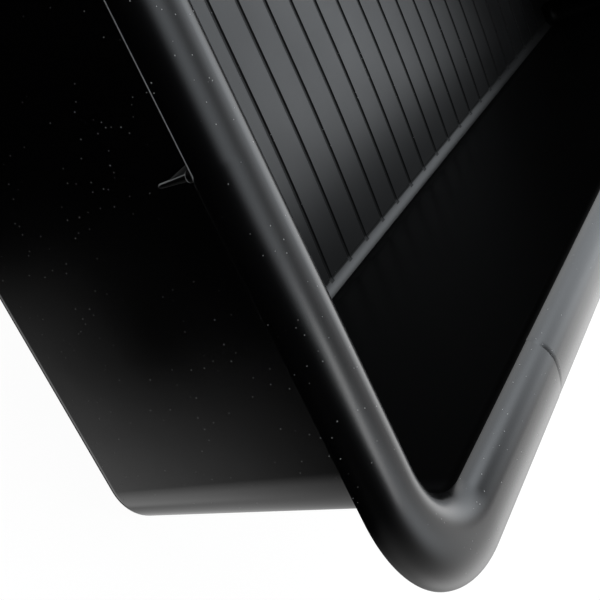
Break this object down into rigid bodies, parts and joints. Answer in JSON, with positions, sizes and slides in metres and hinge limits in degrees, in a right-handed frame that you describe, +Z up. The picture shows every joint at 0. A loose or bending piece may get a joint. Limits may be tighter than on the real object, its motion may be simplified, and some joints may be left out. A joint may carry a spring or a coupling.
{
  "type": "growing tray",
  "caption": "Shallow black plastic growing tray with a ribbed floor, drafted walls, rounded corners and a domed lip for lifting and stacking.",
  "frame": {"origin": "under the middle of the floor, on the resting face", "axes": "+X along the tray, +Y across it towards the back wall, +Z up"},
  "size_m": [0.54, 0.278, 0.051],
  "materials": {
    "black_plastic": "satin gloss, moulded"
  },
  "bodies": {
    "root": {"floor_plate": "black_plastic", "floor_ribs": "black_plastic", "front_wall": "black_plastic", "right_wall": "black_plastic", "back_wall": "black_plastic", "left_wall": "black_plastic", "front_right_corner_wall": "black_plastic", "back_right_corner_wall": "black_plastic", "back_left_corner_wall": "black_plastic", "front_left_corner_wall": "black_plastic", "front_lip_rail": "black_plastic", "right_lip_rail": "black_plastic", "back_lip_rail": "black_plastic", "left_lip_rail": "black_plastic", "front_right_lip_corner": "black_plastic", "back_right_lip_corner": "black_plastic", "back_left_lip_corner": "black_plastic", "front_left_lip_corner": "black_plastic", "lip_pegs": "black_plastic"}
  },
  "joints": []
}
